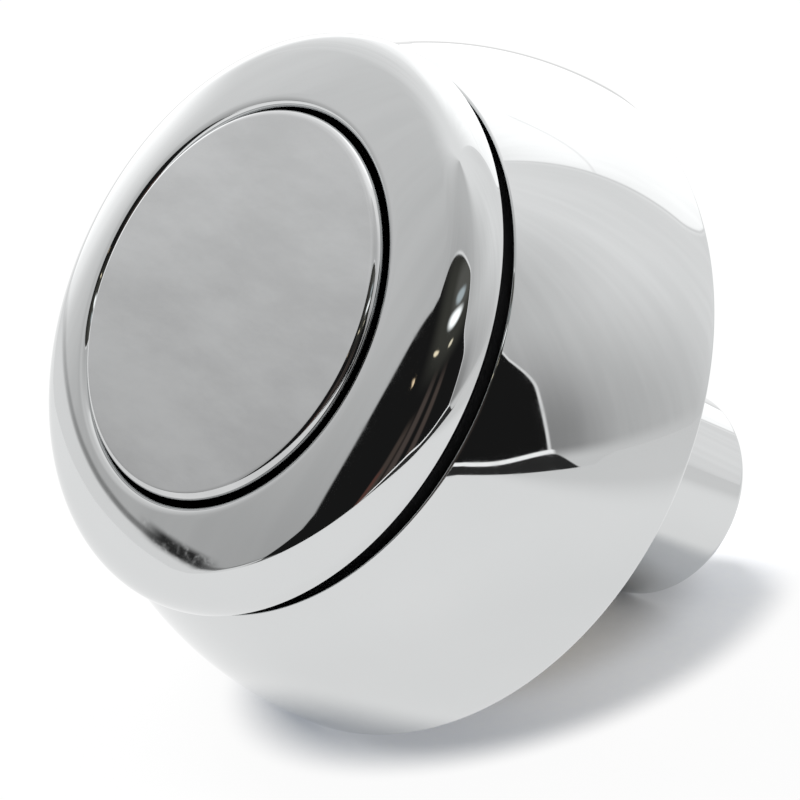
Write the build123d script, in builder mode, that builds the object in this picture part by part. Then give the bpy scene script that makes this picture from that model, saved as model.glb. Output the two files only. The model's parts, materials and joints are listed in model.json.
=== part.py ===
from build123d import *
import os
from math import asin, cos, hypot, radians, sin, sqrt, tan

# Raised push button of a concealed cistern, worked by air: pressing the chrome button squeezes a bellows.
# Millimetres. Z = 0 is the wall face that the dome stands on, and +Z points out of the wall.

# Clearances
fit_clearance = 0.05        # pieces pushed together by hand
seat_clearance = 0.1        # pieces that rest against each other and can part
guide_clearance = 0.3       # pieces that slide past each other
pass_clearance = 0.3        # pieces that pass through an opening

# Button cap
button_radius = 20.0
button_edge = 0.8           # rounding of the button's edge
button_travel = 8.0
cap_thickness = 1.8
cap_skirt_wall = 1.2
cap_skirt_depth = 5.5
tab_count = 3
tab_width = 5.0
tab_height = 0.9
tab_reach = 0.8
tab_angle = 60.0

# Plunger under the button, with snap legs
plunger_plate = 2.0
plunger_wall = 1.2
plunger_inset = 1.4         # plunger skirt inside the button's skirt
hook_count = 3
hook_width = 4.0
hook_height = 1.5
hook_reach = 1.3
leg_slit = 0.8
leg_length = 8.0

# Bezel ring
button_gap = 0.45           # open gap around the button
bezel_drop = 0.5            # corner of the bezel's opening below the button face
bezel_land = 6.4            # width of the sloping front
bezel_slope = 13.0          # fall of the front, in degrees
bezel_crown = 56.0          # radius of the front's slight swell
bezel_round = 4.4           # rounding from the front to the rear edge
bezel_depth = 5.9
bezel_wall = 1.7
bezel_edge = 0.95           # rounding of the opening
bezel_rear_edge = 0.1       # break of the sharp rear edge
skirt_inset = 3.15          # bezel skirt outside the bezel's opening
skirt_wall = 1.6
skirt_drop = 7.6            # skirt below the bezel's rear edge
lug_count = 3
lug_width = 5.0
lug_height = 1.5
lug_reach = 0.8
lug_rise = 1.5              # lug above the skirt's lower end
lug_angle = 30.0

# Dome
shadow_gap = 2.2            # open gap between bezel and dome
dome_flare = 7.15           # how much wider the rim is than the front edge
dome_bulge = 1.6            # how far the side swells off the straight line
dome_wall = 1.8
dome_lip = 1.5              # width of the lip round the housing's flange
dome_lip_edge = 0.4         # rounding of the lip
dome_ledge = 1.6
dome_rim_edge = 1.5         # rounding of the rim
foot_width = 3.9
foot_height = 3.0
gasket_width = 1.2
gasket_depth = 1.4
dome_rib_count = 8
dome_rib_depth = 1.5
dome_rib_thickness = 1.4

# Inner housing
floor_thickness = 2.5
sleeve_wall = 1.3
sleeve_bridge = 2.4         # closed ring of the sleeve above its slots
collar_wall = 1.55
collar_entry = 0.9          # collar inside the hollow of the bezel
flange_reach = 1.1
flange_thickness = 1.2
seat_rib_count = 6
seat_rib_thickness = 1.4

# Bellows, return spring and landing ring
bellows_clearance = 1.0     # bellows inside the sleeve
fold_count = 4
fold_depth = 3.2
bellows_wall = 1.0
bellows_end = 1.2
spring_clearance = 0.5
wire_diameter = 1.0
wire_sides = 6
spring_turns = 4
buffer_thickness = 1.2
buffer_width = 1.9

# Shank tube through the wall
tube_radius = 12.15
tube_wall = 1.4
tube_reach = 40.0           # tube end behind the wall
tube_edge = 0.9             # rounding of the tube's end
tube_break = 0.3            # break of the end's inner edge
thread_step = 0.8           # threaded length beyond the plain tube
thread_reach = 17.0
shank_flange = 2.2
wall_clearance = 0.3        # shank flange above the wall

# Screws that hold the housing on the shank
screw_count = 3
screw_angle = 90.0
screw_radius = 1.5
screw_head_radius = 2.7     # to the corners of the hexagon
screw_head_sides = 6
screw_head = 1.9
screw_margin = 3.1          # shank flange beyond the screws' axes
washer_radius = 3.2
washer_thickness = 0.6

# Washers and nut behind the wall panel
panel_thickness = 6.0
panel_washer_thickness = 2.5
panel_washer_width = 7.0
slip_washer_thickness = 1.0
slip_washer_width = 6.5
nut_across_flats = 36.0
nut_thickness = 6.0
nut_chamfer = 1.2

# Air stem, and the plug that centres it in the tube
stem_radius = 3.6
stem_bore = 1.8
stem_flange = 1.2
stem_flange_width = 2.5
barb_step = 1.4             # barb inside the bellows beyond the stem's neck
barb_height = 1.4
outlet_reach = 8.0          # outlet beyond the tube's end
outlet_barb_count = 2
outlet_core = 2.7
plug_length = 8.0
plug_recess = 0.6           # plug face inside the tube's end
plug_face_thickness = 2.0
plug_wall = 3.2
plug_hub_wall = 1.4
plug_ring_section = 1.5     # thickness of the plug's sealing ring
plug_ring_sides = 6
plug_ring_rise = 3.5        # sealing ring above the plug's face
clip_width = 2.6
clip_thickness = 0.8
clip_groove = 0.6
clip_land = 0.6             # stem between the clip and the outlet's barbs

# Heights of the stack, from the wall to the button's face
floor_bottom = wall_clearance + shank_flange
floor_top = floor_bottom + floor_thickness
buffer_top = floor_top + buffer_thickness
plunger_low = buffer_top + guide_clearance + button_travel
slot_low = buffer_top - guide_clearance
slot_top = plunger_low + hook_height + guide_clearance
sleeve_top = slot_top + sleeve_bridge
plate_bottom = sleeve_top + guide_clearance + button_travel
face_height = plate_bottom + plunger_plate + cap_thickness
bezel_face = face_height - bezel_drop
bezel_rear = bezel_face - bezel_depth
skirt_low = bezel_rear - skirt_drop
lug_low = skirt_low + lug_rise
collar_top = bezel_rear + collar_entry
dome_height = bezel_rear - shadow_gap
ledge_top = dome_height - flange_thickness
ledge_bottom = ledge_top - dome_ledge
stem_flange_top = floor_top + stem_flange
bellows_floor = stem_flange_top + bellows_end
bellows_top = plate_bottom - seat_clearance
bellows_ceiling = bellows_top - bellows_end
screw_seat = floor_top + washer_thickness

# Radii of the nest, outwards from the button
bezel_bore = button_radius + button_gap
skirt_bore = bezel_bore + skirt_inset
skirt_radius = skirt_bore + skirt_wall
collar_bore = skirt_radius + fit_clearance
collar_radius = collar_bore + collar_wall
flange_radius = collar_radius + flange_reach
rebate_radius = flange_radius + seat_clearance
ledge_bore = collar_radius + pass_clearance
dome_front_radius = rebate_radius + dome_lip
dome_rim_radius = dome_front_radius + dome_flare
foot_bore = dome_rim_radius - foot_width
groove_middle = dome_rim_radius - (foot_width + dome_rim_edge) / 2
rib_inset = dome_wall + dome_rib_depth

# Radii of the nest, inwards from the button
cap_bore = button_radius - cap_skirt_wall
plunger_radius = cap_bore - plunger_inset
plunger_bore = plunger_radius - plunger_wall
hook_bore = plunger_bore - hook_reach
sleeve_radius = plunger_bore - guide_clearance
sleeve_bore = sleeve_radius - sleeve_wall
bellows_radius = sleeve_bore - bellows_clearance
valley_radius = bellows_radius - fold_depth
spring_radius = valley_radius - bellows_wall - spring_clearance - wire_diameter / 2
barb_radius = spring_radius - wire_diameter / 2 - spring_clearance
neck_radius = barb_radius - barb_step
buffer_bore = sleeve_radius + fit_clearance
buffer_radius = buffer_bore + buffer_width
screw_circle = (buffer_radius + collar_bore) / 2
shank_flange_radius = screw_circle + screw_margin

# Rear end
tube_bore = tube_radius - tube_wall
tube_end = -tube_reach
thread_radius = tube_radius + thread_step
washer_bore = thread_radius + pass_clearance
slip_top = -panel_thickness - panel_washer_thickness
nut_top = slip_top - slip_washer_thickness
stem_hole = stem_radius + fit_clearance
plug_face = tube_end + plug_recess
plug_radius = tube_bore - fit_clearance
plug_groove = plug_radius - plug_ring_section
clip_bore = stem_radius - clip_groove
outlet_top = plug_face - clip_thickness - clip_land
outlet_end = tube_end - outlet_reach
outlet_pitch = (outlet_top - outlet_end) / outlet_barb_count

# Where the bezel's front ends, its angle there from the wall's plane, the centres of its two curves,
# and the height at which the sealing ring meets its hollow
front_fall = radians(bezel_slope)
front_angle = radians(90 - bezel_slope) - asin(bezel_land / cos(front_fall) / 2 / bezel_crown)
front_radius = bezel_bore + bezel_land
front_height = bezel_face - bezel_land * tan(front_fall)
crown_centre = front_radius - bezel_crown * cos(front_angle)
crown_height = front_height - bezel_crown * sin(front_angle)
round_centre = front_radius - bezel_round * cos(front_angle)
round_height = front_height - bezel_round * sin(front_angle)
hollow_round = bezel_round - bezel_wall
seal_top = round_height + sqrt(hollow_round ** 2 - (collar_radius - round_centre) ** 2) - seat_clearance

# Centre and radius of the dome's side, which bulges off the line from the rim to the front edge
dome_slant = hypot(dome_flare, dome_height)
dome_curve = (dome_slant ** 2 / 4 + dome_bulge ** 2) / (2 * dome_bulge)
dome_offset = (dome_curve - dome_bulge) / dome_slant
dome_centre = (dome_rim_radius + dome_front_radius) / 2 - dome_height * dome_offset
dome_centre_height = dome_height / 2 - dome_flare * dome_offset


def crown_point(radius, depth):
    """Point of the bezel's front at a radius, at a depth below its outer face"""
    return (radius, crown_height + sqrt((bezel_crown - depth) ** 2 - (radius - crown_centre) ** 2))


def round_point(angle, depth):
    """Point of the bezel's round at an angle, at a depth below its outer face"""
    reach = bezel_round - depth
    return (round_centre + reach * cos(angle), round_height + reach * sin(angle))


def rear_angle(depth):
    """Angle at which the bezel's round meets its rear, at a depth below its outer face"""
    return asin((bezel_rear - round_height) / (bezel_round - depth))


def round_arc(depth):
    """Arc of the bezel's round, from its front to its rear"""
    middle_angle = (front_angle + rear_angle(depth)) / 2
    ThreePointArc(*(round_point(angle, depth) for angle in (front_angle, middle_angle, rear_angle(depth))))


def dome_point(height, depth):
    """Point of the dome's side at a height, at a depth below its outer face"""
    return (dome_centre + sqrt((dome_curve - depth) ** 2 - (height - dome_centre_height) ** 2), height)


def dome_arc(low, high, depth):
    """Arc of the dome's side between two heights"""
    ThreePointArc(*(dome_point(height, depth) for height in (low, (low + high) / 2, high)))


def ring_section(inner, outer, low, high, mode=Mode.ADD):
    """Rectangular section of a ring, to be revolved about the button's axis"""
    with Locations(((inner + outer) / 2, (low + high) / 2)):
        Rectangle(outer - inner, high - low, mode=mode)


def save(part, name):
    """Name a finished piece and write it"""
    part.label = name
    export_step(part, f"parts/{name}.step")


os.makedirs("parts", exist_ok=True)

# Button cap: a plated disc with a short skirt, and tabs that clip under the plunger's plate
with BuildPart() as button_cap:
    with BuildSketch(Plane.XY.offset(face_height)):
        Circle(button_radius)
    extrude(amount=-cap_skirt_depth)
    fillet(button_cap.faces().sort_by(Axis.Z)[-1].edges(), button_edge)
    with BuildSketch(Plane.XY.offset(face_height - cap_thickness)):
        Circle(cap_bore)
    extrude(amount=cap_thickness - cap_skirt_depth, mode=Mode.SUBTRACT)
    tab_middle = cap_bore + (cap_skirt_wall / 2 - tab_reach) / 2
    with BuildSketch(Plane.XY.offset(plate_bottom - fit_clearance)):
        with PolarLocations(tab_middle, tab_count, start_angle=tab_angle):
            Rectangle(tab_reach + cap_skirt_wall / 2, tab_width)
    extrude(amount=-tab_height)
save(button_cap.part, "button_cap")

# Plunger: a plate in the cap, and a skirt with hooked legs that slides outside the housing's sleeve
with BuildPart() as button_plunger:
    with BuildSketch(Plane.XZ):
        ring_section(0, cap_bore - fit_clearance, plate_bottom, plate_bottom + plunger_plate)
        ring_section(plunger_bore, plunger_radius, plunger_low, plate_bottom)
    revolve(axis=Axis.Z)
    with BuildSketch(Plane.XY.offset(plunger_low)):
        with PolarLocations((plunger_bore + plunger_radius) / 2, hook_count):
            with Locations((0, (hook_width + leg_slit) / 2), (0, -(hook_width + leg_slit) / 2)):
                Rectangle(3 * plunger_wall, leg_slit)
    extrude(amount=leg_length, mode=Mode.SUBTRACT)
    with BuildSketch(Plane.XY.offset(plunger_low)):
        with PolarLocations(hook_bore + (hook_reach + plunger_wall / 2) / 2, hook_count):
            Rectangle(hook_reach + plunger_wall / 2, hook_width)
    extrude(amount=hook_height)
save(button_plunger.part, "button_plunger")

# Bezel ring: a hollow shell with a slightly swelling front, and a skirt that snaps into the collar
with BuildPart() as bezel_ring:
    with BuildSketch(Plane.XZ):
        with BuildLine():
            ThreePointArc(
                crown_point(bezel_bore, 0),
                crown_point(bezel_bore + bezel_land / 2, 0),
                round_point(front_angle, 0),
            )
            round_arc(0)
            Line(round_point(rear_angle(0), 0), round_point(rear_angle(bezel_wall), bezel_wall))
            round_arc(bezel_wall)
            Polyline(
                round_point(front_angle, bezel_wall),
                crown_point(skirt_radius, bezel_wall),
                (skirt_radius, skirt_low),
                (skirt_bore, skirt_low),
                crown_point(skirt_bore, bezel_wall),
                crown_point(bezel_bore, bezel_wall),
                crown_point(bezel_bore, 0),
            )
        make_face()
    revolve(axis=Axis.Z)
    front_edges = bezel_ring.edges().filter_by(GeomType.CIRCLE).group_by(Axis.Z)[-1]
    fillet(front_edges.sort_by(SortBy.RADIUS)[0], bezel_edge)
    rear_edges = bezel_ring.edges().filter_by_position(Axis.Z, bezel_rear, bezel_rear)
    chamfer(rear_edges.sort_by(SortBy.RADIUS)[-1], bezel_rear_edge)
    lug_middle = skirt_radius + (lug_reach - skirt_wall / 2) / 2
    with BuildSketch(Plane.XY.offset(lug_low)):
        with PolarLocations(lug_middle, lug_count, start_angle=lug_angle):
            Rectangle(lug_reach + skirt_wall / 2, lug_width)
    extrude(amount=lug_height)
save(bezel_ring.part, "bezel_ring")

# Sealing ring on the housing's collar, under the bezel
with BuildPart() as bezel_seal:
    with BuildSketch(Plane.XZ):
        ring_section(collar_bore, collar_radius, collar_top, seal_top)
    revolve(axis=Axis.Z)
save(bezel_seal.part, "bezel_seal")

# One stiffening rib of the dome, from its foot to the ledge under the front edge
with BuildPart() as dome_rib:
    with BuildSketch(Plane.XZ):
        with BuildLine():
            dome_arc(foot_height, ledge_bottom, dome_wall / 2)
            Line(dome_point(ledge_bottom, dome_wall / 2), dome_point(ledge_bottom, rib_inset))
            dome_arc(foot_height, ledge_bottom, rib_inset)
            Line(dome_point(foot_height, rib_inset), dome_point(foot_height, dome_wall / 2))
        make_face()
    extrude(amount=dome_rib_thickness / 2, both=True)

# Dome cover: a flared shell with inner ribs, and a rebate in its front edge for the housing's flange
with BuildPart() as dome_cover:
    with BuildSketch(Plane.XZ):
        with BuildLine():
            dome_arc(0, dome_height, 0)
            Polyline(
                (dome_front_radius, dome_height),
                (rebate_radius, dome_height),
                (rebate_radius, ledge_top),
                (ledge_bore, ledge_top),
                (ledge_bore, ledge_bottom),
                dome_point(ledge_bottom, dome_wall),
            )
            dome_arc(foot_height, ledge_bottom, dome_wall)
            Polyline(
                dome_point(foot_height, dome_wall),
                (foot_bore, foot_height),
                (foot_bore, 0),
                (dome_rim_radius, 0),
            )
        make_face()
    revolve(axis=Axis.Z)
    front_edges = dome_cover.edges().filter_by(GeomType.CIRCLE).group_by(Axis.Z)[-1]
    fillet(front_edges.sort_by(SortBy.RADIUS)[-1], dome_lip_edge)
    rim_edges = dome_cover.edges().filter_by(GeomType.CIRCLE).group_by(Axis.Z)[0]
    fillet(rim_edges.sort_by(SortBy.RADIUS)[-1], dome_rim_edge)
    with BuildSketch():
        Circle(groove_middle + gasket_width / 2 + fit_clearance)
        Circle(groove_middle - gasket_width / 2 - fit_clearance, mode=Mode.SUBTRACT)
    extrude(amount=gasket_depth, mode=Mode.SUBTRACT)
    with PolarLocations(0, dome_rib_count):
        add(dome_rib.part)
save(dome_cover.part, "dome_cover")

# Gasket in the groove of the dome's foot, flush with the wall
with BuildPart() as base_gasket:
    with BuildSketch():
        Circle(groove_middle + gasket_width / 2)
        Circle(groove_middle - gasket_width / 2, mode=Mode.SUBTRACT)
    extrude(amount=gasket_depth)
save(base_gasket.part, "base_gasket")

# Inner housing: a floor, a collar for the bezel, a flange that clamps the dome, and the plunger's sleeve
with BuildPart() as inner_housing:
    with BuildSketch(Plane.XZ):
        ring_section(stem_hole, collar_radius, floor_bottom, floor_top)
        ring_section(collar_bore, collar_radius, floor_top, collar_top)
        ring_section(collar_radius, flange_radius, ledge_top, dome_height)
        ring_section(sleeve_bore, sleeve_radius, floor_top, sleeve_top)
    revolve(axis=Axis.Z)
    with BuildSketch(Plane.XY.offset(floor_top)):
        with PolarLocations(collar_bore - skirt_wall / 2 + collar_wall / 4, seat_rib_count):
            Rectangle(skirt_wall + collar_wall / 2, seat_rib_thickness)
    extrude(amount=skirt_low - floor_top)
    with BuildSketch(Plane.XY.offset(slot_low)):
        with PolarLocations((sleeve_bore + sleeve_radius) / 2, hook_count):
            Rectangle(3 * sleeve_wall, hook_width + 2 * guide_clearance)
    extrude(amount=slot_top - slot_low, mode=Mode.SUBTRACT)
    with BuildSketch(Plane.XY.offset(lug_low - seat_clearance)):
        with PolarLocations((collar_bore + collar_radius) / 2, lug_count, start_angle=lug_angle):
            Rectangle(3 * collar_wall, lug_width + 2 * seat_clearance)
    extrude(amount=lug_height + 2 * seat_clearance, mode=Mode.SUBTRACT)
    with BuildSketch(Plane.XY.offset(floor_bottom)):
        with PolarLocations(screw_circle, screw_count, start_angle=screw_angle):
            Circle(screw_radius + fit_clearance)
    extrude(amount=floor_thickness, mode=Mode.SUBTRACT)
save(inner_housing.part, "inner_housing")

# Rubber ring on the housing's floor, where the plunger lands
with BuildPart() as stop_buffer:
    with BuildSketch(Plane.XZ):
        ring_section(buffer_bore, buffer_radius, floor_top, buffer_top)
    revolve(axis=Axis.Z)
save(stop_buffer.part, "stop_buffer")

# Bellows: a closed rubber sack with V folds, pushed over the barb of the air stem
fold_height = (bellows_ceiling - bellows_floor) / fold_count
fold_line = [(valley_radius, bellows_floor)]
for fold in range(fold_count):
    fold_low = bellows_floor + fold * fold_height
    fold_line.append((bellows_radius, fold_low + fold_height / 2))
    fold_line.append((valley_radius, fold_low + fold_height))
with BuildPart() as bellows:
    with BuildSketch(Plane.XZ):
        with BuildLine():
            Polyline(
                (neck_radius + fit_clearance, stem_flange_top),
                (valley_radius, stem_flange_top),
                *fold_line,
                (valley_radius, bellows_top),
                (0, bellows_top),
                (0, bellows_ceiling),
                *[(radius - bellows_wall, height) for radius, height in reversed(fold_line)],
                (neck_radius + fit_clearance, bellows_floor),
                close=True,
            )
        make_face()
    revolve(axis=Axis.Z)
save(bellows.part, "bellows")

# Return spring inside the bellows
spring_low = bellows_floor + wire_diameter / 2 + seat_clearance
spring_length = bellows_ceiling - wire_diameter / 2 - seat_clearance - spring_low
with BuildPart() as return_spring:
    with BuildLine() as coil:
        Helix(spring_length / spring_turns, spring_length, spring_radius, (0, 0, spring_low))
    with BuildSketch(Plane(coil.line @ 0, z_dir=coil.line % 0)):
        RegularPolygon(wire_diameter / 2, wire_sides)
    sweep(path=coil.line, is_frenet=True)
save(return_spring.part, "return_spring")

# Air stem: one moulded pipe from the bellows to the hose outlet behind the tube
with BuildPart() as air_stem:
    with BuildSketch(Plane.XZ):
        ring_section(stem_bore, stem_radius, outlet_top, floor_top)
        ring_section(clip_bore, stem_radius, plug_face - clip_thickness, plug_face, Mode.SUBTRACT)
        ring_section(stem_bore, neck_radius + stem_flange_width, floor_top, stem_flange_top)
        ring_section(stem_bore, neck_radius, stem_flange_top, bellows_floor)
        with BuildLine():
            Polyline(
                (stem_bore, bellows_floor),
                (barb_radius, bellows_floor),
                (neck_radius, bellows_floor + barb_height),
                (stem_bore, bellows_floor + barb_height),
                close=True,
            )
        make_face()
        for barb in range(outlet_barb_count):
            barb_top = outlet_top - barb * outlet_pitch
            with BuildLine():
                Polyline(
                    (stem_bore, barb_top),
                    (stem_radius, barb_top),
                    (outlet_core, barb_top - outlet_pitch),
                    (stem_bore, barb_top - outlet_pitch),
                    close=True,
                )
            make_face()
    revolve(axis=Axis.Z)
save(air_stem.part, "air_stem")

# Shank tube: a plated tube with a flange under the housing and a threaded length for the nut
with BuildPart() as shank_tube:
    with BuildSketch(Plane.XZ):
        ring_section(tube_bore, tube_radius, tube_end, wall_clearance)
        ring_section(tube_bore, thread_radius, -thread_reach, wall_clearance)
        ring_section(tube_bore, shank_flange_radius, wall_clearance, floor_bottom)
    revolve(axis=Axis.Z)
    end_edges = shank_tube.edges().filter_by(GeomType.CIRCLE).group_by(Axis.Z)[0].sort_by(SortBy.RADIUS)
    fillet(end_edges[-1], tube_edge)
    chamfer(end_edges[0], tube_break)
    with BuildSketch(Plane.XY.offset(wall_clearance)):
        with PolarLocations(screw_circle, screw_count, start_angle=screw_angle):
            Circle(screw_radius + fit_clearance)
    extrude(amount=shank_flange, mode=Mode.SUBTRACT)
save(shank_tube.part, "shank_tube")

# Hexagon screws from the housing's floor into the shank's flange, and their washers
with BuildPart() as housing_screws:
    with BuildSketch(Plane.XY.offset(wall_clearance)):
        with PolarLocations(screw_circle, screw_count, start_angle=screw_angle):
            Circle(screw_radius)
    extrude(amount=screw_seat - wall_clearance)
    with BuildSketch(Plane.XY.offset(screw_seat)):
        with PolarLocations(screw_circle, screw_count, start_angle=screw_angle):
            RegularPolygon(screw_head_radius, screw_head_sides)
    extrude(amount=screw_head)
save(housing_screws.part, "housing_screws")

with BuildPart() as screw_washers:
    with BuildSketch(Plane.XY.offset(floor_top)):
        with PolarLocations(screw_circle, screw_count, start_angle=screw_angle):
            Circle(washer_radius)
            Circle(screw_radius + fit_clearance, mode=Mode.SUBTRACT)
    extrude(amount=washer_thickness)
save(screw_washers.part, "screw_washers")

# Rubber washer, slip washer and hexagon nut on the threaded length, a panel's thickness behind the wall
with BuildPart() as panel_washer:
    with BuildSketch(Plane.XZ):
        ring_section(washer_bore, washer_bore + panel_washer_width, slip_top, -panel_thickness)
    revolve(axis=Axis.Z)
save(panel_washer.part, "panel_washer")

with BuildPart() as slip_washer:
    with BuildSketch(Plane.XZ):
        ring_section(washer_bore, washer_bore + slip_washer_width, nut_top, slip_top)
    revolve(axis=Axis.Z)
save(slip_washer.part, "slip_washer")

nut_corner = nut_across_flats / sqrt(3)
with BuildPart() as back_nut:
    with BuildSketch(Plane.XY.offset(nut_top)):
        RegularPolygon(nut_across_flats / 2, 6, major_radius=False)
        Circle(thread_radius + fit_clearance, mode=Mode.SUBTRACT)
    extrude(amount=-nut_thickness)
    with BuildSketch(Plane.XZ):
        with BuildLine():
            Polyline(
                (0, nut_top),
                (nut_across_flats / 2, nut_top),
                (nut_corner, nut_top - nut_chamfer),
                (nut_corner, nut_top - nut_thickness + nut_chamfer),
                (nut_across_flats / 2, nut_top - nut_thickness),
                (0, nut_top - nut_thickness),
                close=True,
            )
        make_face()
    revolve(axis=Axis.Z, mode=Mode.INTERSECT)
save(back_nut.part, "back_nut")

# Plug that centres the stem in the tube's end, its sealing ring, and the clip that holds the stem
with BuildPart() as end_plug:
    with BuildSketch(Plane.XZ):
        ring_section(stem_hole, plug_radius, plug_face, plug_face + plug_length)
        ring_section(
            stem_hole + plug_hub_wall,
            plug_radius - plug_wall,
            plug_face + plug_face_thickness,
            plug_face + plug_length,
            Mode.SUBTRACT,
        )
        ring_section(
            plug_groove,
            plug_radius,
            plug_face + plug_ring_rise,
            plug_face + plug_ring_rise + plug_ring_section + 2 * seat_clearance,
            Mode.SUBTRACT,
        )
    revolve(axis=Axis.Z)
save(end_plug.part, "end_plug")

with BuildPart() as plug_ring:
    with BuildSketch(Plane.XZ):
        ring_height = plug_face + plug_ring_rise + plug_ring_section / 2 + seat_clearance
        with Locations((plug_groove + (plug_ring_section + fit_clearance) / 2, ring_height)):
            RegularPolygon(plug_ring_section / 2, plug_ring_sides)
    revolve(axis=Axis.Z)
save(plug_ring.part, "plug_ring")

with BuildPart() as stem_clip:
    with BuildSketch(Plane.XY.offset(plug_face)):
        Circle(stem_radius + clip_width)
        Circle(clip_bore + fit_clearance, mode=Mode.SUBTRACT)
        with Locations((stem_radius + clip_width, 0)):
            Rectangle(2 * (stem_radius + clip_width), 2 * clip_bore, mode=Mode.SUBTRACT)
    extrude(amount=-clip_thickness)
save(stem_clip.part, "stem_clip")
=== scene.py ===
"""Looks of the raised cistern push button: finely turned skins for the plated pieces, a thread on the tube,
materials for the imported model, a pale floor that the part lies on, a light tent round it, and a camera at
the photograph's angle. Metres, in the frame of the model; sizes of the turned skins are in millimetres.
In the tent's values a pair is the start and the end of a change, and three numbers are the middle, half
width and blur of a band."""

import json
from math import asin, cos, degrees, hypot, pi, radians, sin, sqrt, tan

import bmesh
import bpy
from mathutils import Matrix, Vector


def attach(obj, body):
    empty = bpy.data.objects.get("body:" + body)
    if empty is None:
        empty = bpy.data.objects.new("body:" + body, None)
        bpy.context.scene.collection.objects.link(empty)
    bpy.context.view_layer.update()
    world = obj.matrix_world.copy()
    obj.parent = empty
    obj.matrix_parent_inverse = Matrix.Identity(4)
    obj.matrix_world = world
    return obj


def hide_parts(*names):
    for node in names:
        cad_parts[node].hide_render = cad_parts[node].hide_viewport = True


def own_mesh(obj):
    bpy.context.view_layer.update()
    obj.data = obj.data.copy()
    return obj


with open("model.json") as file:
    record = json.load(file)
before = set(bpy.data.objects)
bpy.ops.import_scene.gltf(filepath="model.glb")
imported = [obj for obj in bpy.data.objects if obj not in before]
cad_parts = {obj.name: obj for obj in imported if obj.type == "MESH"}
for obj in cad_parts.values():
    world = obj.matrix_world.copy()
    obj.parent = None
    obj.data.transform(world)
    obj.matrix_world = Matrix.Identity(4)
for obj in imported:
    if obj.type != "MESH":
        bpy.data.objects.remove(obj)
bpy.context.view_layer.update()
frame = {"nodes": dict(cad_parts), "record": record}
nodes = frame["nodes"]
record = frame["record"]
button_press = record["behaviour"]["joints"][0]
slot_of = {part["node"]: part["material_slot"] for part in record["subparts"]}
body_of = {node: body for body, members in record["behaviour"]["bodies"].items() for node in members}
pieces = dict(nodes)
millimetre = 0.001

# Button, in millimetres
face_height = 30.8
button_radius = 20.0
button_edge = 0.8
button_skirt = 5.4

# Bezel, in millimetres and degrees
bezel_bore = 20.45
bezel_face = 30.3
bezel_land = 6.4
bezel_slope = 13.0
bezel_crown = 56.0
bezel_round = 4.4
bezel_edge = 0.95
bezel_lip = 1.4
bezel_rear = 24.4
bezel_rear_edge = 0.1

# Dome, in millimetres
dome_height = 22.2
dome_front = 29.5
dome_rim = 36.65
dome_bulge = 1.6
dome_lip_edge = 0.4
dome_lip_start = 28.4
dome_rim_edge = 0.6
dome_foot_skin = 1.7

# Tube and its thread, in millimetres
tube_radius = 12.15
tube_end = -40.0
tube_edge = 0.9
thread_radius = 12.95
thread_pitch = 1.5
thread_depth = 0.65
thread_half_width = 0.65
thread_relief = 0.05
thread_first = -1.5
thread_last = -17.6
thread_steps = 96

# Turned skins, in millimetres: how far they stand out and reach in, and the flat strip beside a rounding
skin_proud = 0.005
skin_depth = 0.6
skin_strip = 0.1

# Meshes: steps, angles in degrees above which an edge is sharp, and reaches in millimetres for mending
turn_steps = 360
arc_steps = 14
sharp_angle = 20.0
soft_angle = 50.0
weld_reach = 0.0001
thin_face = 0.004

# Camera
camera_place = Vector((0.0, -0.2102, 0.2056))
camera_aim = Vector((-0.0021, 0.0018, 0.0019))
camera_upright = Vector((0.854, 0.0, 0.521))
camera_lens = 126.0
camera_near = 0.01

# Floor: a round sheet, cut shorter between two bearings in degrees
floor_radius = 0.43
floor_notch = 0.30
floor_notch_start = (-22, 12)
floor_notch_end = (56, 48)
floor_sink = 0.00005
floor_sides = 96
floor_low = 0.78
floor_high = 0.82
floor_grain = 900.0
floor_open = 0.95
floor_open_matt = 0.05
# Painted shade: to the right of the part the open floor's glow dims to this share, over this reach in
# metres
floor_shaded = 0.82
floor_shaded_right = (0.085, 0.15)

# Oval of the part's shadow on the floor; its middle and long axis run to the right and towards the camera
shadow_middle = (0.0115, -0.011)
shadow_along = (0.62, -0.78)
shadow_half = (0.042, 0.0235)
shadow_fade = (0.70, 1.15)
# Painted light inside the oval: a dim bluish glow lifts the shadow, and a darker glow at its core is
# painted contact shade
shadow_core = (0.1, 0.5)
shadow_glow = (0.165, 0.18, 0.205, 1)
shadow_dark = (0.03, 0.033, 0.038, 1)

# Lamp: how far it is above, behind and to the left of the part, its power and its size
lamp_above = 0.55
lamp_behind = 0.25
lamp_left = 0.35
lamp_power = 4.2
lamp_size = 0.35

# Light tent, in degrees: bearings from behind the camera to its right, elevations from the floor's plane
tent_share = 0.80
wall_top = 2.0
wall_levels = [
    (0, 0.50), (35, 0.64), (55, 0.74), (75, 0.88), (95, 1.02), (108, 0.99), (123, 0.97),
    (125, 1.40), (145, 1.60), (165, 1.60), (176, 1.45), (188, 1.12), (205, 0.97), (225, 0.93),
    (240, 0.80), (255, 0.77), (275, 0.70), (290, 0.62), (325, 0.50), (360, 0.50),
]

# Bright back of the wall, which starts at a thin line, and further round near the table
back_lag = 30.0
back_lag_bearings = (95, 123)
back_lag_elevations = (22, -8)
back_line = (124.0, 0.15, 0.5)
back_line_level = 0.80
back_line_share = 0.6

# The wall is darker low down beside the opening, and whiter low down at the far left
low_shade = 0.26
low_shade_facing = (-0.65, -0.1)
low_shade_right = (62, 42)
low_shade_middle = (0, 20)
low_shade_elevations = (36, 2)
far_left_level = 1.5
far_left_bearings = (-128, -141)
far_left_elevations = (24, 12)

# Folds in the cloth, and a seam that rises across its bright back
fold_scale = 0.22
fold_upright = 0.12
fold_noise = (0.3, 0.7)
fold_levels = (0.97, 1.025)
seam_bearings = (125, 152)
seam_elevations = (42.0, 48.0)
seam_start = (122, 126)
seam_end = (156, 150)
seam_band = (0.0, 0.2, 0.4)
seam_level = 1.05
seam_share = 0.45

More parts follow.
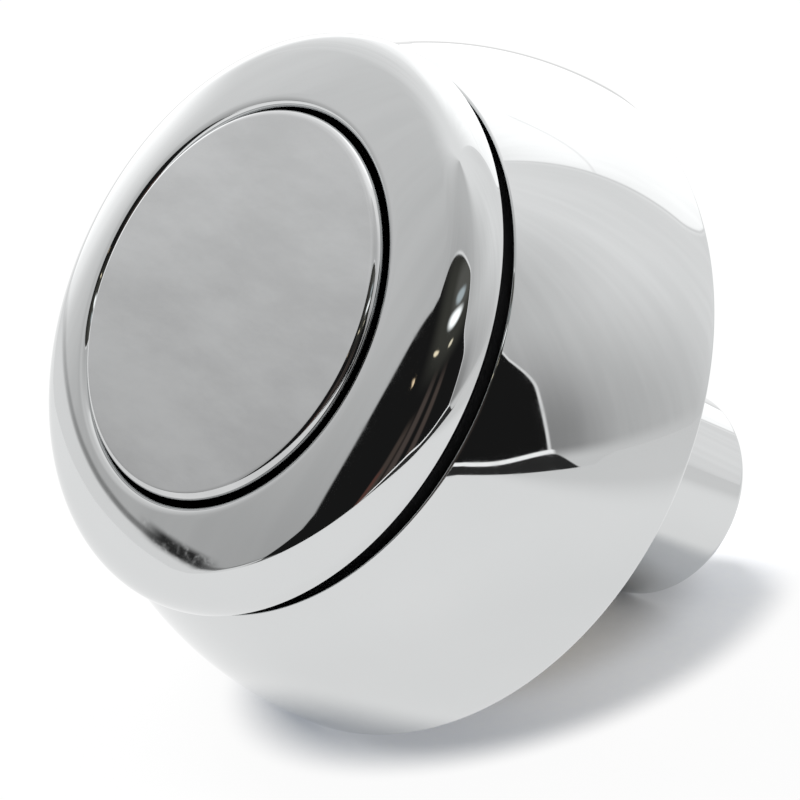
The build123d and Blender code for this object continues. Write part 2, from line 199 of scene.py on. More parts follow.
# Roof of the tent, darker over the opening
roof_elevations = (45, 85)
roof_facing = (0.8, 0.0)
roof_over_opening = 0.68
roof_level = 1.06

# Table round the floor: its far edge, the edge's blur and its brightness change from left to right
table_bearings = (-40, 40)
table_elevations = (-1.0, -3.2)
table_blur = (0.3, 2.2)
table_left_level = 0.92
table_right_level = 0.78

# Dark crease along the table's far edge on the left, and dark rags of cloth on it
crease_band = (-0.2, 0.2, 0.6)
crease_start = (-150, -100)
crease_end = (-68, -74)
crease_level = 0.16
crease_share = 0.75
rag_bearings = (-92.0, 3.0, 6.0)
rag_elevations = (-0.4, 0.6, 1.2)
rag_scale = 0.55
rag_detail = 4.0
rag_roughness = 0.65
rag_noise = (0.3, 0.5)
rag_level = 0.03

# Opening behind the camera: its sides, the step in the right one, its arched top, and its pale rim
opening_left = -72.0
opening_right = 38.5
opening_step = 11.5
opening_step_elevations = (16, 36)
opening_middle = -14.0
opening_rise = 1.84
opening_arch = 1.09
opening_corner = 7.0
opening_blur = 0.3
rim_past = (1.3, 0.5)
rim_over = (-0.5, 0.5)
rim_bearings = (-60, -20)
rim_level = 1.15
rim_share = 0.75

# Sill of the opening, its changes (start, end and rise), its bright hem, and the dark gap below it
sill_elevation = -5.5
sill_changes = [(-55, -73, 4.0), (-42, -8, 3.2), (0, 17, -2.3), (20, 40, 2.5), (39, 50, -6.0)]
hem_band = (-0.1, 0.5, 0.25)
hem_start = (-30, -20)
hem_end = (41, 39.5)
hem_level = 1.25
gap_over = (-0.4, -0.9)
gap_start = (-78, -70)
gap_end = (53, 50)
gap_bearings = (-34, -18)
gap_left_level = 0.22
gap_right_level = 0.03

# Dark room behind the opening, and upright shapes in it: bearing, half width, highest elevation, and colour
room_level = 0.012
room_shapes = [
    (3.0, 6.0, 33.0, (0.085, 0.066, 0.058, 1)),
    (-14.0, 7.0, 36.0, (0.085, 0.067, 0.06, 1)),
    (-26.0, 7.0, 24.0, (0.075, 0.058, 0.05, 1)),
    (-29.0, 4.0, 9.0, (0.12, 0.055, 0.045, 1)),
]
shape_core = 0.3
shape_full = 0.6

# Lamps and their glow in that room: bearing, elevation, half width, half height, and colour
room_lamps = [
    (-8.0, 48.0, 70.0, 22.0, (0.055, 0.055, 0.048, 1)),
    (4.0, 52.0, 36.0, 11.0, (0.12, 0.12, 0.11, 1)),
    (0.0, 50.5, 18.0, 2.8, (0.50, 0.57, 0.60, 1)),
    (-5.0, 44.8, 22.0, 3.4, (1.55, 1.6, 1.6, 1)),
    (-32.0, 37.8, 9.0, 0.9, (1.2, 1.05, 0.75, 1)),
    (0.0, 36.8, 5.5, 1.3, (1.0, 0.92, 0.7, 1)),
    (-63.5, 31.0, 3.0, 0.7, (1.1, 0.85, 0.55, 1)),
]
lamp_core = 0.4

# Finishes: scales of their noise, per metre, depths of their relief, in metres, and ranges of noise used
haze_scale = 60.0
wipe_scale = 700.0
wipe_noise = (0.35, 0.75)
wave_scale = 110.0
wave_depth = 0.00001
smudge_scale = 130.0
smudge_turn = (0, 0, 0.6)
smudge_stretch = (1.0, 0.35, 1.0)
smudge_noise = (0.3, 0.7)
smudge_share = 0.45
smudge_grain = 900.0
smudge_grain_noise = (0.3, 0.75)
# Painted reflection on the button: its face is paler towards this side, over this reach in metres, by this
# share
painted_sheen_toward = (0.955, 0.297, 0)
painted_sheen_reach = (-0.022, 0.022)
painted_sheen_share = 0.55
mottle_scale = 90.0
mould_noise = (0.2, 0.8)
mould_depth = 0.00003
tarnish_scale = 140.0
line_noise = (0.25, 0.75)
line_depth = 0.000006

# Bezel's front: the angle where it ends, from the wall's plane, and the centres of its two curves
front_fall = radians(bezel_slope)
front_angle = radians(90 - bezel_slope) - asin(bezel_land / cos(front_fall) / 2 / bezel_crown)
front_end = Vector((bezel_bore + bezel_land, bezel_face - bezel_land * tan(front_fall)))
front_normal = Vector((cos(front_angle), sin(front_angle)))
crown_centre = front_end - bezel_crown * front_normal
round_centre = front_end - bezel_round * front_normal
round_end = asin((bezel_rear + bezel_rear_edge - round_centre.y) / bezel_round)

# Dome's side: an arc that bulges off the line from the rim to the front edge
dome_slant = hypot(dome_rim - dome_front, dome_height)
dome_curve = (dome_slant ** 2 / 4 + dome_bulge ** 2) / (2 * dome_bulge)
dome_offset = (dome_curve - dome_bulge) / dome_slant
dome_centre = Vector((
    (dome_rim + dome_front) / 2 - dome_height * dome_offset,
    dome_height / 2 - (dome_rim - dome_front) * dome_offset,
))


def dome_radius(height, depth):
    """Radius of the dome's side at a height, at a depth below its outer face"""
    return dome_centre.x + sqrt((dome_curve - depth) ** 2 - (height - dome_centre.y) ** 2)


# The part lies on the rounding of the dome's rim and on the rounded end of its tube
rim_rest = Vector((-dome_radius(dome_rim_edge, dome_rim_edge), 0, dome_rim_edge)) * millimetre
tube_rest = Vector((tube_edge - tube_radius, 0, tube_end + tube_edge)) * millimetre
rest_line = rim_rest - tube_rest
rest_share = (dome_rim_edge - tube_edge) * millimetre / rest_line.length
floor_up = Vector((rest_line.z, 0, -rest_line.x)).normalized() * sqrt(1 - rest_share ** 2)
floor_up += rest_line.normalized() * rest_share
floor_level = rim_rest.dot(floor_up) - dome_rim_edge * millimetre - floor_sink

# Level directions, towards the camera and to its right
camera_look = (camera_aim - camera_place).normalized()
level_near = -(camera_look - camera_look.dot(floor_up) * floor_up).normalized()
level_right = camera_look.cross(floor_up).normalized()


def arc(centre, radius, start, end, steps=arc_steps):
    """Points of an arc of a section; angles are from the wall's plane"""
    angles = [start + (end - start) * i / steps for i in range(steps + 1)]
    return [(centre[0] + radius * cos(angle), centre[1] + radius * sin(angle)) for angle in angles]


def button_section(proud):
    """Skin of the button: its flat face, rounded edge and side"""
    top = face_height + proud
    side = button_radius + proud
    edge = (button_radius - button_edge, face_height - button_edge)
    low = face_height - button_skirt
    flat = [(0, top), (edge[0] / 2, top), (edge[0] - skin_strip, top)]
    inside = side - skin_depth
    return flat + arc(edge, button_edge + proud, pi / 2, 0) + [
        (side, edge[1] - skin_strip),
        (side, low),
        (inside, low),
        (inside, top - skin_depth),
        (0, top - skin_depth),
    ]


def bezel_section(proud):
    """Skin of the bezel: the opening's rounding, the swelling front, and the round down to the rear edge"""
    lip_x = bezel_bore + bezel_edge
    lip_angle = pi / 2 - asin((lip_x - crown_centre.x) / (bezel_crown - bezel_edge))
    lip = (lip_x, crown_centre.y + (bezel_crown - bezel_edge) * sin(lip_angle))
    low = lip[1] + bezel_edge - bezel_lip
    bore = bezel_bore - proud
    rear = bezel_rear - proud
    outside = [(bore, low), (bore, lip[1] - skin_strip)]
    outside += arc(lip, bezel_edge + proud, pi, lip_angle)
    outside += arc(crown_centre, bezel_crown + proud, lip_angle, front_angle)[1:]
    outside += arc(round_centre, bezel_round + proud, front_angle, round_end, 2 * arc_steps)[1:]
    edge = outside[-1][0]
    outside += [(edge - bezel_rear_edge, rear), (edge - skin_depth, rear)]
    inside = arc(round_centre, bezel_round - skin_depth, round_end, front_angle)
    inside += arc(crown_centre, bezel_crown - skin_depth, front_angle, lip_angle)[1:]
    return outside + inside[1:] + [(lip_x, low)]


def dome_section(proud):
    """Skin of the dome: the lip's rounding, the bulging side, the rim's rounding, and the foot's flat"""
    lip_height = dome_height - dome_lip_edge
    lip = (dome_radius(lip_height, dome_lip_edge), lip_height)
    lip_angle = asin((lip_height - dome_centre.y) / (dome_curve - dome_lip_edge))
    rim = (dome_radius(dome_rim_edge, dome_rim_edge), dome_rim_edge)
    rim_angle = asin((dome_rim_edge - dome_centre.y) / (dome_curve - dome_rim_edge))
    top = dome_height + proud
    outside = [(dome_lip_start, top), (lip[0] - skin_strip, top)]
    outside += arc(lip, dome_lip_edge + proud, pi / 2, lip_angle)
    outside += arc(dome_centre, dome_curve + proud, lip_angle, rim_angle, 2 * arc_steps)[1:]
    outside += arc(rim, dome_rim_edge + proud, rim_angle, -pi / 2)[1:]
    foot = dome_rim - dome_foot_skin
    inside = [(foot, -proud), (foot, skin_depth)]
    inside += arc(dome_centre, dome_curve - skin_depth, rim_angle, lip_angle)
    return outside + inside + [(dome_lip_start, dome_height - skin_depth)]


def tube_section(proud):
    """Skin of the tube's plain length and its rounded end"""
    edge = (tube_radius - tube_edge, tube_end + tube_edge)
    side = tube_radius + proud
    outside = [(side, thread_last), (side, edge[1] + skin_strip)]
    outside += arc(edge, tube_edge + proud, 0, -pi / 2)
    return outside + [(edge[0], edge[1]), (side - skin_depth, edge[1]), (side - skin_depth, thread_last)]


def mesh_object(name, verts, faces):
    """A new closed mesh in the scene, from points in millimetres"""
    mesh = bpy.data.meshes.new(name)
    shape = bmesh.new()
    points = [shape.verts.new(Vector(vert) * millimetre) for vert in verts]
    for face in faces:
        shape.faces.new([points[i] for i in face])
    bmesh.ops.recalc_face_normals(shape, faces=shape.faces)
    shape.to_mesh(mesh)
    shape.free()
    piece = bpy.data.objects.new(name, mesh)
    bpy.context.scene.collection.objects.link(piece)
    return piece


def lathe(name, section):
    """A closed mesh turned about the button's axis from a closed section"""
    verts = []
    rings = []
    for radius, height in section:
        if radius == 0:
            rings.append([len(verts)] * turn_steps)
            verts.append((0, 0, height))
            continue
        rings.append(list(range(len(verts), len(verts) + turn_steps)))
        for i in range(turn_steps):
            angle = 2 * pi * i / turn_steps
            verts.append((radius * cos(angle), radius * sin(angle), height))
    faces = []
    for ring, below in zip(rings, rings[1:] + rings[:1]):
        for i in range(turn_steps):
            after = (i + 1) % turn_steps
            corners = list(dict.fromkeys((ring[i], ring[after], below[after], below[i])))
            if len(corners) > 2:
                faces.append(corners)
    return mesh_object(name, verts, faces)


def thread_cutter(name):
    """A helical groove's shape: a three-sided section swept round the tube"""
    turns = (thread_first - thread_last) / thread_pitch
    count = int(turns * thread_steps)
    outer = thread_radius + thread_relief
    half = thread_half_width * (thread_depth + thread_relief) / thread_depth
    section = [(thread_radius - thread_depth, 0), (outer, half), (outer, -half)]
    verts = []
    for i in range(count + 1):
        angle = 2 * pi * i / thread_steps
        height = thread_first - thread_pitch * i / thread_steps
        verts += [(radius * cos(angle), radius * sin(angle), height + rise) for radius, rise in section]
    faces = [(0, 1, 2), (3 * count, 3 * count + 2, 3 * count + 1)]
    for i in range(count):
        for corner in range(3):
            after = (corner + 1) % 3
            faces.append((3 * i + corner, 3 * i + after, 3 * i + 3 + after, 3 * i + 3 + corner))
    return mesh_object(name, verts, faces)


def welded(node):
    """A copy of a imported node's mesh, closed and without its imported shading normals"""
    mesh = bpy.data.meshes.new(node + "_copy")
    shape = bmesh.new()
    shape.from_mesh(nodes[node].data)
    bmesh.ops.remove_doubles(shape, verts=shape.verts, dist=weld_reach * millimetre)
    shape.to_mesh(mesh)
    shape.free()
    imported = mesh.attributes.get("custom_normal")
    if imported:
        mesh.attributes.remove(imported)
    return mesh


def stand_in(name, mesh, node, angle):
    """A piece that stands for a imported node, shaded smooth apart from edges above an angle"""
    mesh.shade_smooth()
    mesh.set_sharp_from_angle(angle=radians(angle))
    piece = bpy.data.objects.new(name, mesh)
    bpy.context.scene.collection.objects.link(piece)
    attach(piece, body_of[node])
    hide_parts(node)
    pieces[node] = piece
    return piece


def refined(node, changes):
    """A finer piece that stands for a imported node: its own mesh with skins added or grooves cut"""
    base = bpy.data.objects.new(node + "_copy", welded(node))
    bpy.context.scene.collection.objects.link(base)
    for operation, tool in changes:
        change = base.modifiers.new(operation, "BOOLEAN")
        change.operation = operation
        change.solver = "MANIFOLD"
        change.object = tool
    depsgraph = bpy.context.evaluated_depsgraph_get()
    mesh = bpy.data.meshes.new_from_object(base.evaluated_get(depsgraph))
    for helper in [base] + [tool for operation, tool in changes]:
        bpy.data.objects.remove(helper)
    shape = bmesh.new()
    shape.from_mesh(mesh)
    bmesh.ops.dissolve_degenerate(shape, dist=thin_face * millimetre, edges=shape.edges)
    shape.to_mesh(mesh)
    shape.free()
    return stand_in(node + "_turned", mesh, node, sharp_angle)


def flexible(node):
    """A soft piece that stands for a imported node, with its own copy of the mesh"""
    piece = stand_in(node + "_soft", welded(node), node, soft_angle)
    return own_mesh(piece)


class Tree:
    """Short ways to add nodes to one node tree"""

    def __init__(self, owner):
        owner.use_nodes = True
        self.node_tree = owner.node_tree
        self.node_tree.nodes.clear()

    def link(self, socket, value):
        """Set a socket to a number or colour, or feed it from another node"""
        if isinstance(value, bpy.types.NodeSocket):
            self.node_tree.links.new(value, socket)
        else:
            socket.default_value = value

    def add(self, kind, inputs=None, **settings):
        """A node with some of its settings and inputs"""
        node = self.node_tree.nodes.new("ShaderNode" + kind)
        for name, value in settings.items():
            setattr(node, name, value)
        for name, value in (inputs or {}).items():
            self.link(node.inputs[name], value)
        return node

    def math(self, operation, *values):
        """One sum, with numbers or sockets"""
        return self.add("Math", dict(enumerate(values)), operation=operation).outputs[0]

    def dot(self, vector, direction):
        """Part of a vector along a fixed direction"""
        inputs = {0: vector, 1: direction}
        return self.add("VectorMath", inputs, operation="DOT_PRODUCT").outputs["Value"]

    def step(self, value, low, high, start=0.0, end=1.0):
        """Smooth change from start to end while a value goes from low to high"""
        inputs = {"Value": value, "From Min": low, "From Max": high, "To Min": start, "To Max": end}
        return self.add("MapRange", inputs, interpolation_type="SMOOTHSTEP").outputs["Result"]

    def band(self, value, middle, half, blur):
        """1 where a value is within half of the middle, falling smoothly to 0 beyond it"""
        away = self.math("ABSOLUTE", self.math("SUBTRACT", value, middle))
        return self.step(away, half + blur, half)

    def product(self, *factors):
        """Product of numbers or sockets"""
        result = factors[0]
        for factor in factors[1:]:
            result = self.math("MULTIPLY", result, factor)
        return result

    def most(self, *values):
        """Largest of some sockets"""
        result = values[0]
        for value in values[1:]:
            result = self.math("MAXIMUM", result, value)
        return result

    def mix(self, factor, first, second, blend="MIX"):
        """Blend of two colours"""
        node = self.node_tree.nodes.new("ShaderNodeMix")
        node.data_type = "RGBA"
        node.blend_type = blend
        sockets = {socket.name: socket for socket in node.inputs if socket.enabled}
        for name, value in {"Factor": factor, "A": first, "B": second}.items():
            self.link(sockets[name], value)
        return [socket for socket in node.outputs if socket.enabled][0]

    def ramp(self, value, stops):
        """Colour ramp of (place, grey level) pairs"""
        node = self.add("ValToRGB", {"Fac": value})
        elements = node.color_ramp.elements
        while len(elements) < len(stops):
            elements.new(0.5)
        for element, (place, level) in zip(elements, stops):
            element.position = place
            element.color = grey(level)
        return node.outputs["Color"]

    def noise(self, vector, scale, detail=3.0, roughness=0.5):
        """Even noise from 0 to 1"""
        inputs = {"Vector": vector, "Scale": scale, "Detail": detail, "Roughness": roughness}
        return self.add("TexNoise", inputs).outputs["Fac"]

    def plane(self, x, y):
        """A vector from two sockets"""
        return self.add("CombineXYZ", {"X": x, "Y": y}).outputs[0]


def grey(level):
    """A grey colour of that level; 1 is white"""
    return (level, level, level, 1)


def tent_wall(tree, bearing, elevation):
    """Cloth wall of the tent, and its roof"""
    lag = tree.step(elevation, *back_lag_elevations, 0.0, back_lag)
    lagged = tree.math("SUBTRACT", bearing, tree.product(lag, tree.step(bearing, *back_lag_bearings)))
    turn = tree.math("FRACT", tree.math("ADD", tree.math("DIVIDE", lagged, 360.0), 1.0))
    wall = tree.ramp(turn, [(place / 360, level / wall_top) for place, level in wall_levels])
    wall = tree.mix(1.0, wall, grey(wall_top), "MULTIPLY")
    facing = tree.math("COSINE", tree.math("RADIANS", tree.math("SUBTRACT", bearing, opening_middle)))
    right = tree.step(bearing, *low_shade_right, 0.0, low_shade)
    right = tree.product(right, tree.step(bearing, *low_shade_middle))
    shade = tree.math("ADD", tree.step(facing, *low_shade_facing, 0.0, low_shade), right)
    shade = tree.product(shade, tree.step(elevation, *low_shade_elevations))
    wall = tree.mix(1.0, wall, tree.math("SUBTRACT", 1.0, shade), "MULTIPLY")
    far_left = tree.step(bearing, *far_left_bearings)
    far_left = tree.product(far_left, tree.step(elevation, *far_left_elevations))
    wall = tree.mix(far_left, wall, grey(far_left_level))
    hang = tree.plane(bearing, tree.math("MULTIPLY", elevation, fold_upright))
    folds = tree.step(tree.noise(hang, fold_scale), *fold_noise, *fold_levels)
    wall = tree.mix(1.0, wall, folds, "MULTIPLY")
    over_seam = tree.math("SUBTRACT", elevation, tree.step(bearing, *seam_bearings, *seam_elevations))
    seam = tree.product(tree.step(bearing, *seam_start), tree.step(bearing, *seam_end), seam_share)
    wall = tree.mix(tree.product(tree.band(over_seam, *seam_band), seam), wall, grey(seam_level))
    line = tree.product(tree.band(lagged, *back_line), back_line_share)
    wall = tree.mix(line, wall, grey(back_line_level))
    roof = tree.mix(tree.step(facing, *roof_facing), grey(roof_over_opening), grey(roof_level))
    return tree.mix(tree.step(elevation, *roof_elevations), wall, roof)


def tent_table(tree, bearing, elevation, wall):
    """The wall with the table in front of it, the dark crease between them, and rags of cloth"""
    below = tree.math("SUBTRACT", tree.step(bearing, *table_bearings, *table_elevations), elevation)
    level = tree.mix(tree.step(bearing, *table_bearings), grey(table_left_level), grey(table_right_level))
    blur = tree.step(bearing, *table_bearings, *table_blur)
    wall = tree.mix(tree.step(tree.math("DIVIDE", below, blur), -1.0, 1.0), wall, level)
    crease = tree.product(tree.step(bearing, *crease_end), tree.step(bearing, *crease_start), crease_share)
    wall = tree.mix(tree.product(tree.band(below, *crease_band), crease), wall, grey(crease_level))
    ragged = tree.noise(tree.plane(bearing, elevation), rag_scale, rag_detail, rag_roughness)
    rags = tree.product(tree.band(bearing, *rag_bearings), tree.band(elevation, *rag_elevations))
    return tree.mix(tree.product(rags, tree.step(ragged, *rag_noise)), wall, grey(rag_level))


def past_opening(tree, bearing, elevation):
    """Degrees past the opening's sides and arched top; below 0 is inside it"""
    right_side = tree.step(elevation, *opening_step_elevations, opening_right, opening_right - opening_step)
    past_right = tree.math("SUBTRACT", bearing, right_side)
    past_left = tree.math("SUBTRACT", opening_left, bearing)
    arch = tree.product(tree.math("SUBTRACT", bearing, opening_middle), opening_arch)
    arch = tree.math("COSINE", tree.math("RADIANS", arch))
    top = tree.math("ARCTANGENT", tree.product(arch, opening_rise))
    past_top = tree.math("SUBTRACT", elevation, tree.math("DEGREES", top))
    return tree.math("SMOOTH_MAX", tree.most(past_right, past_left), past_top, opening_corner)


def dark_room(tree, bearing, elevation):
    """The room behind the opening: upright shapes, and lamps with their glow"""
    room = grey(room_level)
    for place, half, top, colour in room_shapes:
        upright = tree.band(bearing, place, half * shape_core, half * (1 - shape_core))
        room = tree.mix(tree.product(upright, tree.step(elevation, top, top * shape_full)), room, colour)
    for place, level, half, tall, colour in room_lamps:
        across = tree.math("DIVIDE", tree.math("SUBTRACT", bearing, place), half)
        along = tree.math("DIVIDE", tree.math("SUBTRACT", elevation, level), tall)
        spread = tree.math("ADD", tree.math("POWER", across, 2.0), tree.math("POWER", along, 2.0))
        room = tree.mix(tree.step(tree.math("SQRT", spread), 1.0, lamp_core), room, colour)
    return room


def make_world():
    """White for the camera and glass; for the rest, a pale tent with an opening behind the camera"""
    world = bpy.data.worlds.new("light_tent")
    bpy.context.scene.world = world
    tree = Tree(world)
    direction = tree.add("TexCoord").outputs["Generated"]
    bearing = tree.math("ARCTAN2", tree.dot(direction, level_right), tree.dot(direction, level_near))
    bearing = tree.math("DEGREES", bearing)
    elevation = tree.math("DEGREES", tree.math("ARCSINE", tree.dot(direction, floor_up)))
    wall = tent_table(tree, bearing, elevation, tent_wall(tree, bearing, elevation))
    past = past_opening(tree, bearing, elevation)
    sill = sill_elevation
    for start, end, change in sill_changes:
        sill = tree.math("ADD", tree.step(bearing, start, end, 0.0, change), sill)
    over = tree.math("SUBTRACT", elevation, sill)
    rim = tree.product(tree.step(past, *rim_past), tree.step(over, *rim_over))
    rim = tree.product(rim, tree.step(bearing, *rim_bearings), rim_share)
    wall = tree.mix(rim, wall, grey(rim_level))
    inside = tree.step(past, opening_blur, -opening_blur)
    tent = tree.mix(inside, wall, dark_room(tree, bearing, elevation))
    gap = tree.product(tree.step(bearing, *gap_end), tree.step(bearing, *gap_start))
    gap_colour = tree.mix(tree.step(bearing, *gap_bearings), grey(gap_left_level), grey(gap_right_level))
    tent = tree.mix(tree.product(gap, tree.step(over, *gap_over)), tent, gap_colour)
    hem = tree.product(tree.step(bearing, *hem_start), tree.step(bearing, *hem_end))
    tent = tree.mix(tree.product(tree.band(over, *hem_band), hem), tent, grey(hem_level))
    rays = tree.add("LightPath").outputs
    shown = tree.most(rays["Is Camera Ray"], rays["Is Transmission Ray"], rays["Is Glossy Ray"])
    backdrop = tree.mix(rays["Is Glossy Ray"], grey(1.0), tent)
    matt = tree.mix(1.0, tent, grey(tent_share), "MULTIPLY")
    background = tree.add("Background", {"Color": tree.mix(shown, matt, backdrop), "Strength": 1.0})
    output = tree.add("OutputWorld")
    tree.link(output.inputs["Surface"], background.outputs[0])


def ease(angle, start, end):
    """Smooth rise from 0 to 1 while an angle goes from start to end, in degrees"""
    share = min(max((degrees(angle) - start) / (end - start), 0.0), 1.0)
    return share * share * (3 - 2 * share)


def floor_ring():
    """Points of the floor's edge, which comes nearer between two bearings"""
    ring = []
    for i in range(floor_sides):
        angle = 2 * pi * i / floor_sides - pi
        short = min(ease(angle, *floor_notch_start), ease(angle, *floor_notch_end))
        reach = floor_radius + (floor_notch - floor_radius) * short
        point = reach * (cos(angle) * level_near + sin(angle) * level_right)
        ring.append(point + floor_level * floor_up)
    return ring


def floor_white():
    """Pale, with painted shade in the shadow's oval and to the right; white beyond the oval for camera,
    metal and glass, and clear from below
    """
    material = bpy.data.materials.new("floor_white")
    tree = Tree(material)
    place = tree.add("TexCoord").outputs["Object"]
    along = shadow_along[0] * level_right + shadow_along[1] * level_near
    across = floor_up.cross(along)
    middle = shadow_middle[0] * level_right + shadow_middle[1] * level_near
    far = 0.0
    for axis, half in zip((along, across), shadow_half):
        off = tree.math("SUBTRACT", tree.dot(place, axis), middle.dot(axis))
        off = tree.math("ABSOLUTE", tree.math("DIVIDE", off, half))
        far = tree.math("ADD", tree.math("POWER", off, 2.0), far)
    beyond = tree.step(far, *shadow_fade)
    pale = tree.mix(tree.noise(place, floor_grain), grey(floor_low), grey(floor_high))
    diffuse = tree.add("BsdfDiffuse", {"Color": tree.mix(beyond, pale, grey(floor_open_matt))})
    rays = tree.add("LightPath").outputs
    shown = tree.most(rays["Is Camera Ray"], rays["Is Glossy Ray"], rays["Is Transmission Ray"])
    # Painted shade: the open floor's glow is dimmed to the right
    aside = tree.dot(place, level_right)
    shaded = tree.step(aside, *floor_shaded_right, floor_open, floor_open * floor_shaded)
    # Painted shadow: inside the oval the glow is a dim bluish fill, darkest at the core as painted contact
    # shade
    shadow = tree.mix(tree.step(far, *shadow_core), shadow_dark, shadow_glow)
    glow = tree.add("Emission", {"Color": tree.mix(beyond, shadow, shaded), "Strength": shown})
    both = tree.add("AddShader", {0: diffuse.outputs[0], 1: glow.outputs[0]})
    clear = tree.add("BsdfTransparent")
    below = tree.add("NewGeometry").outputs["Backfacing"]
    side = tree.add("MixShader", {0: below, 1: both.outputs[0], 2: clear.outputs[0]})
    output = tree.add("OutputMaterial")
    tree.link(output.inputs["Surface"], side.outputs[0])
    return material


def make_floor():
    """A pale sheet under the part"""
    mesh = bpy.data.meshes.new("floor")
    mesh.from_pydata(floor_ring(), [], [list(range(floor_sides))])
    mesh.materials.append(floor_white())
    floor = bpy.data.objects.new("floor", mesh)
    bpy.context.scene.collection.objects.link(floor)


def make_lamp():
    """A soft lamp from above, on the left and behind the part"""
    lamp = bpy.data.lights.new("soft_lamp", "AREA")
    lamp.shape = "DISK"
    lamp.size = lamp_size
    lamp.energy = lamp_power
    holder = bpy.data.objects.new("soft_lamp", lamp)
    bpy.context.scene.collection.objects.link(holder)
    holder.location = lamp_above * floor_up - lamp_behind * level_near - lamp_left * level_right
    holder.rotation_mode = "QUATERNION"
    holder.rotation_quaternion = (-holder.location).to_track_quat("-Z", "Y")
    holder.visible_glossy = False


def make_camera():
    """The photograph's camera, upright over the floor"""
    camera = bpy.data.cameras.new("camera")
    camera.lens = camera_lens
    camera.clip_start = camera_near
    holder = bpy.data.objects.new("camera", camera)
    bpy.context.scene.collection.objects.link(holder)
    right = camera_look.cross(camera_upright).normalized()
    above = right.cross(camera_look)
    turn = Matrix((right, above, -camera_look)).transposed().to_4x4()
    holder.matrix_world = Matrix.Translation(camera_place) @ turn
    bpy.context.scene.camera = holder


def shader(name):
    """A new material with a principled shader, its tree, and coordinates in metres"""
    material = bpy.data.materials.new(name)
    tree = Tree(material)
    surface = tree.add("BsdfPrincipled")
    output = tree.add("OutputMaterial")
    tree.link(output.inputs["Surface"], surface.outputs[0])
    place = tree.add("TexCoord").outputs["Object"]
    return material, tree, surface, place


def bump(tree, surface, height, depth):
    """Relief of that depth from a height between 0 and 1"""
    node = tree.add("Bump", {"Strength": 1.0, "Distance": depth, "Height": height})
    tree.link(surface.inputs["Normal"], node.outputs[0])


def chrome(name, low, high, dull, dullest):
    """Polished plating: faint haze, and a little unevenness that bends what it mirrors"""
    material, tree, surface, place = shader(name)
    haze = tree.noise(place, haze_scale, detail=4.0)
    tree.link(surface.inputs["Base Color"], tree.mix(haze, low, high))
    surface.inputs["Metallic"].default_value = 1.0
    wipe = tree.noise(place, wipe_scale, detail=5.0, roughness=0.7)
    tree.link(surface.inputs["Roughness"], tree.step(wipe, *wipe_noise, dull, dullest))
    bump(tree, surface, tree.noise(place, wave_scale, detail=1.0), wave_depth)
    return material


def wiped_chrome(name, low, high, dull, dullest):
    """Plating of the button: a mottled haze of finger and wiping marks, and a painted reflection that makes
    it paler to one side
    """
    material, tree, surface, place = shader(name)
    wiped = {"Vector": place, "Rotation": smudge_turn, "Scale": smudge_stretch}
    wiped = tree.add("Mapping", wiped).outputs[0]
    cloud = tree.noise(wiped, smudge_scale, detail=5.0, roughness=0.6)
    cloud = tree.step(cloud, *smudge_noise, 0.0, smudge_share)
    # Painted reflection: the face is paler towards one side
    painted_sheen = tree.step(tree.dot(place, painted_sheen_toward), *painted_sheen_reach, 0.0, painted_sheen_share)
    tree.link(surface.inputs["Base Color"], tree.mix(tree.math("ADD", cloud, painted_sheen), low, high))
    surface.inputs["Metallic"].default_value = 1.0
    fine = tree.noise(wiped, smudge_grain, detail=4.0, roughness=0.7)
    tree.link(surface.inputs["Roughness"], tree.step(fine, *smudge_grain_noise, dull, dullest))
    bump(tree, surface, tree.noise(place, wave_scale, detail=1.0), wave_depth)
    return material


def plastic(name, low, high, dull, dullest, grain):
    """Moulded plastic or rubber with a fine grain"""
    material, tree, surface, place = shader(name)
    tree.link(surface.inputs["Base Color"], tree.mix(tree.noise(place, mottle_scale), low, high))
    fine = tree.noise(place, grain, detail=4.0, roughness=0.6)
    tree.link(surface.inputs["Roughness"], tree.step(fine, *mould_noise, dull, dullest))
    bump(tree, surface, fine, mould_depth)
    return material


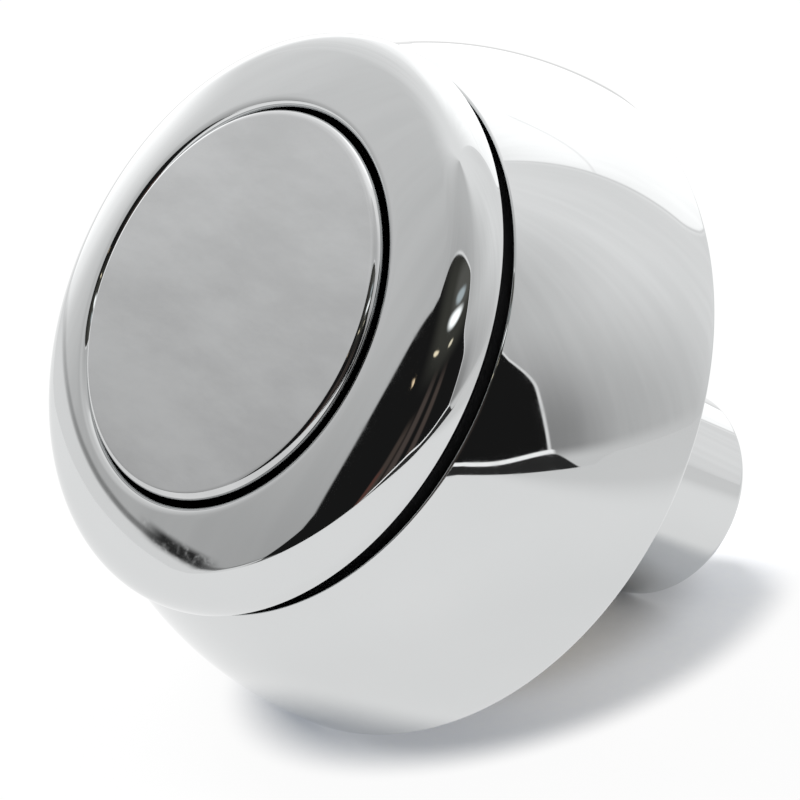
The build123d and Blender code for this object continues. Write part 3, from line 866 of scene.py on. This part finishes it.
def metal(name, low, high, dull, dullest, stretch):
    """Bright metal with fine lines left by drawing or turning"""
    material, tree, surface, place = shader(name)
    lines = tree.add("Mapping", {"Vector": place, "Scale": stretch}).outputs[0]
    fine = tree.noise(lines, 1.0, detail=4.0, roughness=0.6)
    tree.link(surface.inputs["Base Color"], tree.mix(tree.noise(place, tarnish_scale), low, high))
    surface.inputs["Metallic"].default_value = 1.0
    tree.link(surface.inputs["Roughness"], tree.step(fine, *line_noise, dull, dullest))
    bump(tree, surface, fine, line_depth)
    return material


# Finish of each slot: darkest and palest colour, smallest and largest roughness, and its grain or lines
finishes = [
    (chrome, "chrome", (0.64, 0.652, 0.655, 1), (0.68, 0.688, 0.69, 1), 0.02, 0.05),
    (wiped_chrome, "button_chrome", (0.54, 0.545, 0.548, 1), (0.76, 0.77, 0.775, 1), 0.04, 0.09),
    (plastic, "black_plastic", (0.02, 0.02, 0.021, 1), (0.032, 0.032, 0.034, 1), 0.39, 0.53, 4000.0),
    (plastic, "white_plastic", (0.76, 0.76, 0.72, 1), (0.83, 0.83, 0.8, 1), 0.34, 0.48, 3000.0),
    (plastic, "rubber", (0.028, 0.028, 0.03, 1), (0.042, 0.042, 0.044, 1), 0.64, 0.78, 2500.0),
    (plastic, "bellows_rubber", (0.05, 0.05, 0.055, 1), (0.07, 0.07, 0.075, 1), 0.56, 0.70, 2500.0),
    (metal, "spring_steel", (0.58, 0.58, 0.59, 1), (0.66, 0.66, 0.67, 1), 0.17, 0.35, (200, 200, 4000)),
    (metal, "zinc_steel", (0.6, 0.62, 0.64, 1), (0.7, 0.71, 0.71, 1), 0.22, 0.40, (900, 900, 900)),
    (metal, "brass", (0.72, 0.53, 0.25, 1), (0.82, 0.64, 0.33, 1), 0.22, 0.40, (300, 300, 5000)),
]

refined("button_cap", [("UNION", lathe("button_skin", button_section(skin_proud)))])
refined("bezel_ring", [("UNION", lathe("bezel_skin", bezel_section(skin_proud)))])
refined("dome_cover", [("UNION", lathe("dome_skin", dome_section(skin_proud)))])
refined("shank_tube", [
    ("UNION", lathe("tube_skin", tube_section(skin_proud))),
    ("DIFFERENCE", thread_cutter("thread_groove")),
])
for soft in button_press["deforming_nodes"]:
    flexible(soft["node"])

materials = {slot: finish(slot, *values) for finish, slot, *values in finishes}
for node, piece in pieces.items():
    piece.data.materials.clear()
    piece.data.materials.append(materials[slot_of[node]])

make_world()
make_floor()
make_lamp()
make_camera()

bpy.context.scene.view_settings.view_transform = "Standard"
